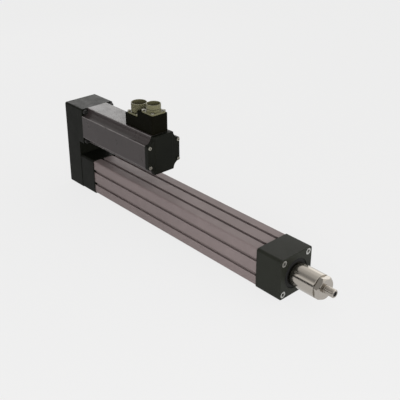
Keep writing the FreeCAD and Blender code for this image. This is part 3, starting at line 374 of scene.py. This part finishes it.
# painted shade: a near-black tone over the olive wherever the surface is hollow
overlay("connector_metal", fade(tree, bend, EVEN, HOLLOW), tone=(0.012, 0.011, 0.006))
print("dark grooves on", finishes["connector_metal"].name)

# %% [markdown]
# Some pieces show only when the cylinder is taken apart, yet they get a finish as well: ground
# steel for screw, nut, rollers and bearings, stacked sheet for the motor's iron, enamelled copper
# for the winding, sintered bronze for the bush. Their grain follows how each is made.

# %% Inner pieces
finish("bearing_steel", colour=(0.45, 0.45, 0.46), rough=(0.22, 0.32), metallic=1.0,
       grain=TURNED_X, scale=1800.0, depth=5e-6)
finish("pulley_aluminium", colour=(0.55, 0.55, 0.56), rough=(0.3, 0.42), metallic=1.0,
       grain=TURNED_X, scale=1400.0, depth=8e-6)
finish("core_iron", colour=(0.16, 0.16, 0.17), rough=(0.42, 0.55), metallic=0.8,
       grain=TURNED_X, scale=2000.0, depth=4e-5)
finish("magnet", colour=(0.22, 0.22, 0.23), rough=(0.3, 0.4), metallic=0.9,
       grain=BLASTED, scale=1500.0, depth=8e-6)
finish("copper", colour=(0.5, 0.2, 0.09), rough=(0.25, 0.38), metallic=0.85,
       grain=WOUND, scale=1200.0, depth=8e-5)
finish("bronze", colour=(0.42, 0.27, 0.11), rough=(0.4, 0.5), metallic=0.9,
       grain=BLASTED, scale=1300.0, depth=3e-5)
finish("guide_plastic", colour=(0.22, 0.15, 0.08), rough=(0.5, 0.6), specular=0.4,
       grain=BLASTED, scale=1500.0, depth=2e-5)
print("inner pieces", len(finishes), "finishes in all")

# %% [markdown]
# Every solid names the slot that it takes its finish from. Three take one of their own instead:
# the paler head, a lit copy of the black with painted light, and the two sets of aged screws.

# %% Finishes on the solids
slot_of = {part["node"]: part["material_slot"] for part in frame["record"]["subparts"]}
own_finish = {"front_head": "black_head", "motor_cap_screws": "aged_screws",
              "connector_screws": "aged_screws"}
for name, node in nodes.items():
    node.data.materials.clear()
    node.data.materials.append(finishes[own_finish.get(name, slot_of[name])])
print("finishes on", len(slot_of), "nodes")

# %% [markdown]
# New pieces are surfaces of rings: a profile of stations and radii is carried round an axis, and
# both may also change with the angle, which gives threads, knurls, hexagons and square flanges.
# A cylinder with cutters would give the same shapes, but a formula keeps the mesh even and closed.
# Each profile runs from the low end over the outside to the high end, so that all faces point out.

# %% Surfaces made of rings
MM = 0.001
STEPS = 144
ANGLE = 2 * np.pi * np.arange(STEPS) / STEPS


def band(pairs, factor=1.0, steps=STEPS):
    """Rings of a profile of (station, radius) pairs, with the radius times a factor at each of the
    steps round the axis."""
    pairs = np.asarray(pairs, dtype=float)
    return pairs[:, :1] * np.ones(steps), pairs[:, 1:] * np.broadcast_to(factor, steps)


def join_bands(*bands):
    """One profile from several: their stations and their radii, stacked in order."""
    return tuple(np.vstack(part) for part in zip(*bands))


def ring_points(station, radius, along):
    """Points of rings about an axis: point j of ring i stands station[i, j] along the axis,
    radius[i, j] from it and j equal steps round it. One list of points, ring after ring."""
    turn = 2 * np.pi * np.arange(radius.shape[1]) / radius.shape[1]
    across = radius * np.cos(turn)
    up = radius * np.sin(turn)
    order = {"X": (station, across, up), "Z": (across, up, station)}[along]
    return np.stack(order, axis=-1).reshape(-1, 3)


def ring_quads(rows, steps, looped):
    """Quads between neighbouring rings; a looped profile also joins its last ring to its first."""
    row = np.arange(rows if looped else rows - 1)[:, None]
    step = np.arange(steps)[None, :]
    after = (step + 1) % steps
    above = (row + 1) % rows
    quads = [row * steps + step, row * steps + after, above * steps + after, above * steps + step]
    return np.stack(quads, axis=-1).reshape(-1, 4)


def capped_rings(station, radius, along):
    """Closed skin of rings whose first and last row are poles on the axis: quads between the rings
    and a fan of triangles at each pole."""
    rows, steps = radius.shape[0] - 2, radius.shape[1]
    points = ring_points(station[1:-1], radius[1:-1], along)
    poles = ring_points(station[[0, -1], :1], radius[[0, -1], :1], along)
    step = np.arange(steps)
    after = (step + 1) % steps
    top = (rows - 1) * steps
    low_fan = np.stack([after, step, np.full(steps, rows * steps)], axis=-1)
    high_fan = np.stack([top + step, top + after, np.full(steps, rows * steps + 1)], axis=-1)
    return np.concatenate([points, poles]), [ring_quads(rows, steps, False), low_fan, high_fan]


def looped_rings(station, radius, along):
    """Closed skin of rings whose last row joins the first, such as a collar with a hole."""
    return ring_points(station, radius, along), [ring_quads(*radius.shape, True)]


def repeat_at(points, faces, places):
    """Copies of one shape at several places: points shifted by each place, faces by each count."""
    places = np.asarray(places)
    many = (points[None, :, :] + places[:, None, :]).reshape(-1, 3)
    shift = np.arange(len(places))[:, None, None] * len(points)
    return many, [(block[None, :, :] + shift).reshape(-1, block.shape[1]) for block in faces]


print("ring surfaces ready,", STEPS, "steps a turn")

# %% [markdown]
# A shape becomes a piece when its points, in millimetres so far, are put into a mesh in metres.
# Faces are smooth up to a crease angle, so turned flanks look round and edges stay crisp. The
# object stays at the origin, takes the finish of its slot and rides on a body, so that it moves
# with it.

# %% From arrays to pieces
def make_piece(name, points, faces, slot, body, crease=32.0):
    """Mesh object from points in millimetres and blocks of faces, riding on a body."""
    mesh = bpy.data.meshes.new(name)
    mesh.from_pydata(points * MM, [], sum((block.tolist() for block in faces), []))
    mesh.polygons.foreach_set("use_smooth", np.ones(len(mesh.polygons), dtype=bool))
    mesh.set_sharp_from_angle(angle=math.radians(crease))
    mesh.materials.append(finishes[slot])
    piece = bpy.data.objects.new(name, mesh)
    bpy.context.scene.collection.objects.link(piece)
    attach(piece, body)
    print(name, len(mesh.vertices), "points", len(mesh.polygons), "faces")
    return piece


def box_mm(node):
    """Lowest and highest corner of a solid, in millimetres."""
    low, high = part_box(node)
    return np.array(low) / MM, np.array(high) / MM


mounts = {mount["name"]: mount for mount in frame["record"]["mounts"]}
print("mounts", sorted(mounts))

# %% [markdown]
# The rod end is one turned piece: a plug in the rod, a hexagon bevelled on both sides and a short
# stud with a tapped hole. The solid model says where each of them starts and how large the threads
# are, so those are read from it, and only the fine sizes are new.

# %% Sizes of the rod end
hex_across, hex_length, hex_turn = 30.0, 9.0, math.radians(135.0)
hex_bevel, hex_bevel_front, hex_bevel_back = 2.7, 3.0, 0.8
plug_r, plug_bevel = 11.9, 0.5
neck_r, neck_fillet, neck_runout = 5.5, 0.3, 0.4
thread_pitch, stud_cut, stud_rings = 1.25, 0.3, 109
tip_bevel, hole_bevel, lining_room = 1.0, 0.3, 0.5

rod_low, rod_high = box_mm("rod_tube")
end_low, end_high = box_mm("rod_end")
x_plug, x_hex, x_tip = end_low[0], rod_high[0], end_high[0]
x_stud = x_hex + hex_length
rod_axis = [0.0, 0.0, (rod_low[2] + rod_high[2]) / 2]
stud, hole = mounts["rod_stud"], mounts["stud_thread"]["dims"]
stud_r, stud_half = stud["dims"]["r_mm"], stud["dims"]["length_mm"] / 2
x_thread = stud["pos_m"][0] / MM
hole_r, bore_r = hole["r_mm"], hole["r_mm"] + lining_room
x_floor = x_tip - hole["length_mm"]
print("stud radius", stud_r, "mm, hole radius", hole_r, "mm")

# %% [markdown]
# Along each angle the hexagon's radius is the distance to its nearest flat, and the bevel starts
# where its cone reaches that distance, so the rings follow the curved edges exactly.
# The thread is a rounded saw that climbs with the angle, so it winds as a real one does.

# %% Rod end: hexagon and threads
saw_gain, saw_base, saw_fade = 1.5, 0.25, 0.7


def flat_reach(half, count, start):
    """Distance from the axis to the nearest of several equal flats along each angle: half over the
    cosine of the angle to that flat's middle."""
    gap = 2 * np.pi / count
    off = (ANGLE - start + gap / 2) % gap - gap / 2
    return half / np.cos(off)


def thread_cut(station, pitch, fade_length):
    """Share of a thread's depth at each station and angle: a rounded saw that climbs one pitch a
    turn and fades out towards both ends."""
    turn = (station[:, None] / pitch - ANGLE / (2 * np.pi)) % 1.0
    saw = np.clip(np.abs(2 * turn - 1) * saw_gain - saw_base, 0.0, 1.0)
    ends = np.minimum(station - station.min(), station.max() - station)
    return saw * np.clip(ends / fade_length, 0.0, 1.0)[:, None]


def wound(station, crest, depth, pitch):
    """Rings of a thread: crest radius less depth times the saw; a negative depth cuts outwards."""
    cut = thread_cut(station, pitch, saw_fade * pitch)
    return station[:, None] * np.ones(STEPS), crest - depth * cut


flats = flat_reach(hex_across / 2, count=6, start=hex_turn)
face_r = hex_across / math.sqrt(3) - hex_bevel
rise = (flats - face_r) / hex_bevel
hexagon = (np.stack([x_hex + rise * hex_bevel_back, x_stud - rise * hex_bevel_front]),
           np.stack([flats, flats]))
stud_thread = wound(np.linspace(x_thread - stud_half, x_thread + stud_half, stud_rings),
                    stud_r, stud_cut, thread_pitch)
profile = join_bands(
    band([(x_plug, 0.0), (x_plug, plug_r - plug_bevel), (x_plug + plug_bevel, plug_r),
          (x_hex, plug_r), (x_hex, face_r)]),
    hexagon,
    band([(x_stud, face_r), (x_stud, neck_r + neck_fillet), (x_stud + neck_fillet, neck_r),
          (x_thread - stud_half - neck_runout, neck_r)]),
    stud_thread,
    band([(x_tip, stud_r - tip_bevel), (x_tip, bore_r + hole_bevel), (x_tip - hole_bevel, bore_r),
          (x_floor, bore_r), (x_floor, 0.0)]))
points, faces = capped_rings(*profile, "X")
rod_end = make_piece("rod_end_turned", points + rod_axis, faces, "chromed_steel", "rod",
                     crease=30.0)
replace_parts(rod_end, "rod_end")

# %% [markdown]
# The stud is hollow and tapped. The thread inside is black as painted shade for the hole's
# shadow, so the hole looks like a dark dot from any side.
# It is a lining of its own: a closed cup whose inner wall winds and whose outer wall is plain.

# %% Thread inside the stud, black as painted shade
lining_gap, lining_mouth, lining_floor, lining_cut, lining_rings = 0.02, 0.6, 0.4, 0.4, 91
x_back, x_mouth = x_floor + lining_gap, x_tip - lining_mouth
lining = join_bands(
    band([(x_back, 0.0), (x_back, bore_r - lining_gap), (x_mouth, bore_r - lining_gap)]),
    wound(np.linspace(x_mouth, x_floor + lining_mouth, lining_rings),
          hole_r, -lining_cut, thread_pitch),
    band([(x_floor + lining_floor, hole_r), (x_floor + lining_floor, 0.0)]))
points, faces = capped_rings(*lining, "X")
# the black of the lining is painted shade inside the tapped hole
make_piece("stud_thread_lining", points + rod_axis, faces, "black_steel", "rod", crease=30.0)

# %% [markdown]
# Each connector is a shell on a square flange: the flange is a rounded square, the barrel is round,
# and both are rings of one surface whose radius follows a different rule. Two shapes pushed into
# each other would leave a seam and hidden faces inside.

# %% Connector shells
tail, tail_r, flange, flange_bevel, flange_power = 9.0, 8.4, 3.0, 0.3, 9.0
shell_wall, floor_step = 1.6, 0.8
rim_inset, rim_drop, rim_bevel, mouth_bevel = 0.1, 0.3, 0.45, 0.35


def square_reach(power):
    """Radius of a rounded square of half width 1: one over the p-norm of the direction."""
    return (np.abs(np.cos(ANGLE)) ** power + np.abs(np.sin(ANGLE)) ** power) ** (-1.0 / power)


def connector_shell(name, node, barrel_r, outside):
    """Closed shell about an upright axis, from the tail over flange, outside and rim to the inner
    floor. Outside gives the barrel's rings between the flange's top and the rim."""
    low, high = box_mm(node)
    seat, top, half = low[2] + tail, high[2], (high[1] - low[1]) / 2
    shelf, inside_z, bore = seat + flange, seat + floor_step, barrel_r - shell_wall
    profile = join_bands(
        band([(low[2], 0.0), (low[2], tail_r), (seat, tail_r)]),
        band([(seat, half - flange_bevel), (seat + flange_bevel, half),
              (shelf - flange_bevel, half), (shelf, half - flange_bevel)],
             square_reach(flange_power)),
        outside(shelf, top),
        band([(top - rim_drop, barrel_r - rim_inset), (top, barrel_r - rim_bevel),
              (top, bore + mouth_bevel), (top - mouth_bevel, bore), (inside_z, bore),
              (inside_z, 0.0)]))
    points, faces = capped_rings(*profile, "Z")
    centre = [(low[0] + high[0]) / 2, 0.0, 0.0]
    piece = make_piece(name, points + centre, faces, "connector_metal", "housing")
    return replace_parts(piece, node)


print("shell wall", shell_wall, "mm")

# %% [markdown]
# The barrels differ. The signal barrel has a seal groove at its foot and a coarse diamond knurl, so
# that fingers can turn it. The power barrel is smooth, for a push-fit plug that snaps in a groove.
# A knurl could be a bump in the finish, but this one is a millimetre deep and shows against the
# light, so its grooves are in the mesh.

# %% Barrels of the connectors
signal_r, power_r = 13.0, 11.75
seal_depth, seal_width, seal_edge, seal_step = 0.9, 1.2, 0.2, 0.1
knurl_grooves, knurl_climb, knurl_fade, knurl_rings = 18, 4.4, 0.8, 97
knurl_land, knurl_flank, knurl_depth, knurl_end = 0.35, 0.55, 1.1, 0.9
foot_out, foot_height, foot_bevel = 0.8, 1.2, 0.3
snap_at, snap_width, snap_depth, snap_step, snap_end = 4.0, 1.2, 0.5, 0.1, 1.4


def diamond_knurl(foot, top):
    """Barrel of the signal connector: a seal groove, then a knurl. Two sets of grooves wind round
    it, one each way. A groove's depth is a saw of the angle plus or minus the height, with its low
    part cut off, and the deeper of both holds at each point, which leaves diamonds. Both fade out
    at the ends."""
    edge = foot + seal_width + seal_step
    seal = band([(foot, signal_r - seal_depth), (foot + seal_width, signal_r - seal_depth),
                 (edge, signal_r - seal_edge)])
    station = np.linspace(edge + seal_step, top - knurl_end, knurl_rings)
    climb = ((station - station[0]) / knurl_climb)[:, None]
    turn = knurl_grooves * ANGLE / (2 * np.pi)
    right = np.abs(2 * ((turn + climb) % 1.0) - 1)
    left = np.abs(2 * ((turn - climb) % 1.0) - 1)
    cut = np.clip((np.maximum(right, left) - knurl_land) / knurl_flank, 0.0, 1.0)
    ends = np.minimum(station - station[0], station[-1] - station) / knurl_fade
    depth = knurl_depth * cut * np.clip(ends, 0.0, 1.0)[:, None]
    return join_bands(seal, (station[:, None] * np.ones(STEPS), signal_r - depth))


def plain_barrel(foot, top):
    """Barrel of the power connector: a foot ring, a snap groove and a plain run to the rim."""
    ring, ring_top = power_r + foot_out, foot + foot_height
    snap, snap_top = foot + snap_at, foot + snap_at + snap_width
    return band([(foot, ring), (ring_top - foot_bevel, ring), (ring_top, ring - foot_bevel),
                 (ring_top, power_r), (snap, power_r), (snap + snap_step, power_r - snap_depth),
                 (snap_top - snap_step, power_r - snap_depth), (snap_top, power_r),
                 (top - snap_end, power_r)])


connector_shell("signal_shell", "signal_connector", signal_r, diamond_knurl)
connector_shell("power_shell", "power_connector", power_r, plain_barrel)

# %% [markdown]
# Inside the barrels the contact pins stand in small collars of the insulator, on a circle with one
# more in the middle. A pin has a rounded tip, so that it finds its socket.
# One mesh holds all pins, because each is a single shape, repeated at every place.

# %% Contact pins
insert_height, circle_share = 3.0, 0.62
pin_r, pin_tip, pin_steps = 0.8, 0.7, 16
signal_pin, power_pin = 5.0, 2.5


def on_circle(node, barrel_r, count):
    """Places of one connector's pins: evenly on a circle and one in the middle, on the insert."""
    low, high = box_mm(node)
    radius = circle_share * (barrel_r - shell_wall)
    turn = 2 * np.pi * np.arange(count) / count
    spread = np.stack([radius * np.cos(turn), radius * np.sin(turn), np.zeros(count)], axis=-1)
    centre = [(low[0] + high[0]) / 2, 0.0, low[2] + tail + floor_step + insert_height]
    return np.concatenate([spread, np.zeros((1, 3))]) + np.array(centre)


def pins_at(height, places):
    """Upright pins at several places; a pin's tip is a quarter of an ellipse in three steps."""
    turn = np.radians([0.0, 30.0, 60.0, 90.0])
    tip = np.stack([height - pin_tip + pin_tip * np.sin(turn), pin_r * np.cos(turn)], axis=-1)
    tip[-1, 1] = 0.0
    rings = band([(0.0, 0.0), (0.0, pin_r), *tip], steps=pin_steps)
    return repeat_at(*capped_rings(*rings, "Z"), places)


signal_places = on_circle("signal_connector", signal_r, count=11)
power_places = on_circle("power_connector", power_r, count=6)
tall, tall_faces = pins_at(signal_pin, signal_places)
short, short_faces = pins_at(power_pin, power_places)
faces = tall_faces + [block + len(tall) for block in short_faces]
pins = make_piece("contact_pins", np.concatenate([tall, short]), faces, "contact_gold", "housing",
                  crease=50.0)
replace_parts(pins, "connector_pins")

# %% [markdown]
# Each pin's collar is part of the insulator and insulates it from its neighbours. It has a rounded
# rim, and its hole leaves the pin a little play. A closed loop of rings gives that shape, where a
# cylinder would need a hole cut into it.

# %% Collars of the pins
collar_r, collar_sunk, pin_play, collar_steps = 1.45, 0.1, 0.05, 20
collar_shoulder, collar_rim = (0.6, 1.4), (0.85, 1.2)
inner_r = pin_r + pin_play
collar = band([(-collar_sunk, inner_r), (-collar_sunk, collar_r), collar_shoulder, collar_rim,
               (collar_rim[0], inner_r)], steps=collar_steps)
places = np.concatenate([signal_places, power_places])
points, faces = repeat_at(*looped_rings(*collar, "Z"), places)
make_piece("pin_collars", points, faces, "dark_plastic", "housing", crease=40.0)

# %% [markdown]
# The socket screws that hold the motor have knurled heads, so that fingers can spin them in.
# A knurl is a ring whose radius ripples with the angle. One mesh holds all four rings, because
# equal fasteners are one piece; each is the same array of points moved to its own corner.

# %% Knurled screw heads
head_r, ripple_depth, ripple_waves = 4.125, 0.14, 24
ring_start, ring_end, ring_slope, ring_inset = 0.4, 1.0, 0.2, 0.2
low, high = box_mm("motor_mount_screws")
x_start, x_end = box_mm("motor_housing")[0][0] + ring_start, high[0] - ring_end
middle = (low[2] + high[2]) / 2
corner = high[1] - head_r
ripple = np.abs(np.sin(ripple_waves * ANGLE))
knurl = join_bands(
    band([(x_start, head_r - ring_inset)]),
    band([(x_start + ring_slope, 1.0), (x_end - ring_slope, 1.0)], head_r + ripple_depth * ripple),
    band([(x_end, head_r - ring_inset)]))
places = [(0.0, side * corner, middle + level * corner) for side in (-1, 1) for level in (-1, 1)]
points, faces = repeat_at(*looped_rings(*knurl, "X"), places)
make_piece("mount_screw_knurls", points, faces, "black_steel", "housing", crease=25.0)

# %% [markdown]
# The cylinder stands on a plain pale floor. To the camera and in mirrors the floor is mostly its
# own pale colour, so that the picture's ground is even, and the rest of it catches the soft shadow.

# %% Floor
PALE = (0.855, 0.855, 0.855)
floor_reach, floor_z, plain_share = 6.0, -0.0003, 0.92


def background_ray(tree):
    """1 for rays that show the background: from the camera, from a mirror or through glass."""
    path = add(tree, "ShaderNodeLightPath")
    shown = maths(tree, "MAXIMUM", path.outputs["Is Camera Ray"], path.outputs["Is Glossy Ray"])
    return maths(tree, "MAXIMUM", shown, path.outputs["Is Transmission Ray"])


corners = floor_reach * np.array([[-1.0, -1.0], [1.0, -1.0], [1.0, 1.0], [-1.0, 1.0]])
floor_mesh = bpy.data.meshes.new("floor")
floor_mesh.from_pydata(np.column_stack([corners, np.full(4, floor_z)]), [], [(0, 1, 2, 3)])
floor = bpy.data.objects.new("floor", floor_mesh)
bpy.context.scene.collection.objects.link(floor)
floor_paint = bpy.data.materials.new("floor_paint")
floor_paint.use_nodes = True
tree = floor_paint.node_tree
tree.nodes.clear()
matte = add(tree, "ShaderNodeBsdfDiffuse", {"Color": PALE})
glow = add(tree, "ShaderNodeEmission", {"Color": PALE, "Strength": 1.0})
share = maths(tree, "MULTIPLY", background_ray(tree), plain_share)
blend = add(tree, "ShaderNodeMixShader", {0: share, 1: matte.outputs[0], 2: glow.outputs[0]})
add(tree, "ShaderNodeOutputMaterial", {"Surface": blend.outputs[0]})
floor_mesh.materials.append(floor_paint)
print("floor", floor_reach * 2, "m wide")

# %% [markdown]
# The light is a studio. Smooth metal needs a room with bands in it, because a mirror shows only
# what it mirrors: behind the cylinder a bright wall runs up into the ceiling, and on the camera's
# side a bright low screen stands between a dark foot and a dark gap. The room is a ramp of
# brightness by height for each side, which needs no lamps and leaves no edges in mirrors.

# %% Studio room
WARM = (1.0, 0.985, 0.96)
room_strength, side_width = 2.0, 0.35
near_levels = [(0.0, 0.03), (0.22, 0.03), (0.29, 0.5), (0.4, 0.54), (0.55, 0.32), (0.62, 0.21),
               (0.71, 0.17), (0.78, 0.2), (0.86, 0.33), (1.0, 0.28)]
far_levels = [(0.0, 0.68), (0.25, 0.88), (0.36, 0.9), (0.42, 0.66), (0.48, 0.58), (0.55, 0.57),
              (0.79, 0.5), (0.86, 0.38), (1.0, 0.26)]


def room_side(tree, height, levels):
    """Brightness of one side of the room by the height of a ray: a ramp through (height, level)
    points, a little warm."""
    ramp_node = add(tree, "ShaderNodeValToRGB", {"Fac": height})
    ramp = ramp_node.color_ramp
    ramp.interpolation = "EASE"
    ramp.elements.remove(ramp.elements[1])
    for index, (at, level) in enumerate(levels):
        stop = ramp.elements[0] if index == 0 else ramp.elements.new(at)
        stop.position = at
        stop.color = (*(level * tint for tint in WARM), 1.0)
    return ramp_node.outputs["Color"]


world = bpy.data.worlds.new("studio")
bpy.context.scene.world = world
world.use_nodes = True
tree = world.node_tree
tree.nodes.clear()
ray = add(tree, "ShaderNodeSeparateXYZ", {0: add(tree, "ShaderNodeTexCoord").outputs["Generated"]})
near_side = room_side(tree, ray.outputs["Z"], near_levels)
far_side = room_side(tree, ray.outputs["Z"], far_levels)
side = fade(tree, ray.outputs["Y"], -side_width, side_width, "SMOOTHSTEP")
room = add(tree, "ShaderNodeBackground",
           {"Color": two_tone(tree, side, near_side, far_side), "Strength": room_strength})
page = add(tree, "ShaderNodeBackground", {"Color": PALE, "Strength": 1.0})
seen = add(tree, "ShaderNodeLightPath").outputs["Is Camera Ray"]
either = add(tree, "ShaderNodeMixShader", {0: seen, 1: room.outputs[0], 2: page.outputs[0]})
add(tree, "ShaderNodeOutputWorld", {"Surface": either.outputs[0]})
print("room of", len(near_levels), "and", len(far_levels), "levels")

# %% [markdown]
# A soft window beside the camera gives the light a direction; it stays out of mirrors, where the
# room's bands already stand for it. A small softbox behind draws a sheen over the tops of the motor
# and the belt housing.

# %% Studio lamps
def area_lamp(name, place, aim, size, watts):
    """Square lamp turned to face a point: it leans up from straight down by the angle to that
    point, then turns about the upright towards it."""
    light = bpy.data.lights.new(name, "AREA")
    light.shape = "SQUARE"
    light.size = size
    light.energy = watts
    lamp = bpy.data.objects.new(name, light)
    lamp.location = place
    x, y, z = np.array(aim) - np.array(place)
    lamp.rotation_euler = (math.atan2(math.hypot(x, y), -z), 0.0, math.atan2(-x, y))
    bpy.context.scene.collection.objects.link(lamp)
    print(name, watts, "W")
    return lamp


window = area_lamp("window", place=(1.07, -0.8, 0.36), aim=(0.0, 0.0, 0.08), size=0.6, watts=16.0)
window.visible_glossy = False
area_lamp("softbox", place=(-1.2, 0.616, 0.56), aim=(-0.15, 0.0, 0.18), size=0.35, watts=0.9)

# %% [markdown]
# The camera stands where the picture was taken from. Its direction, distance and lens come from
# fitting the straight edges of the picture; a small shift of the frame keeps the uprights nearly
# parallel, as they are there.

# %% Camera
azimuth, elevation, distance = math.radians(47.68), math.radians(24.54), 1.1465
target = np.array([0.0, 0.0387, 0.1092])
away = np.array([math.sin(azimuth) * math.cos(elevation), -math.cos(azimuth) * math.cos(elevation),
                 math.sin(elevation)])
view = bpy.data.cameras.new("camera")
view.lens = 65.72
view.sensor_width = 36.0
view.shift_y = -0.1
camera = bpy.data.objects.new("camera", view)
camera.location = target + distance * away
camera.rotation_euler = (math.pi / 2 - elevation, 0.0, azimuth)
bpy.context.scene.collection.objects.link(camera)
bpy.context.scene.camera = camera
bpy.context.scene.view_settings.view_transform = "Standard"
print("camera at", [round(v, 3) for v in camera.location])
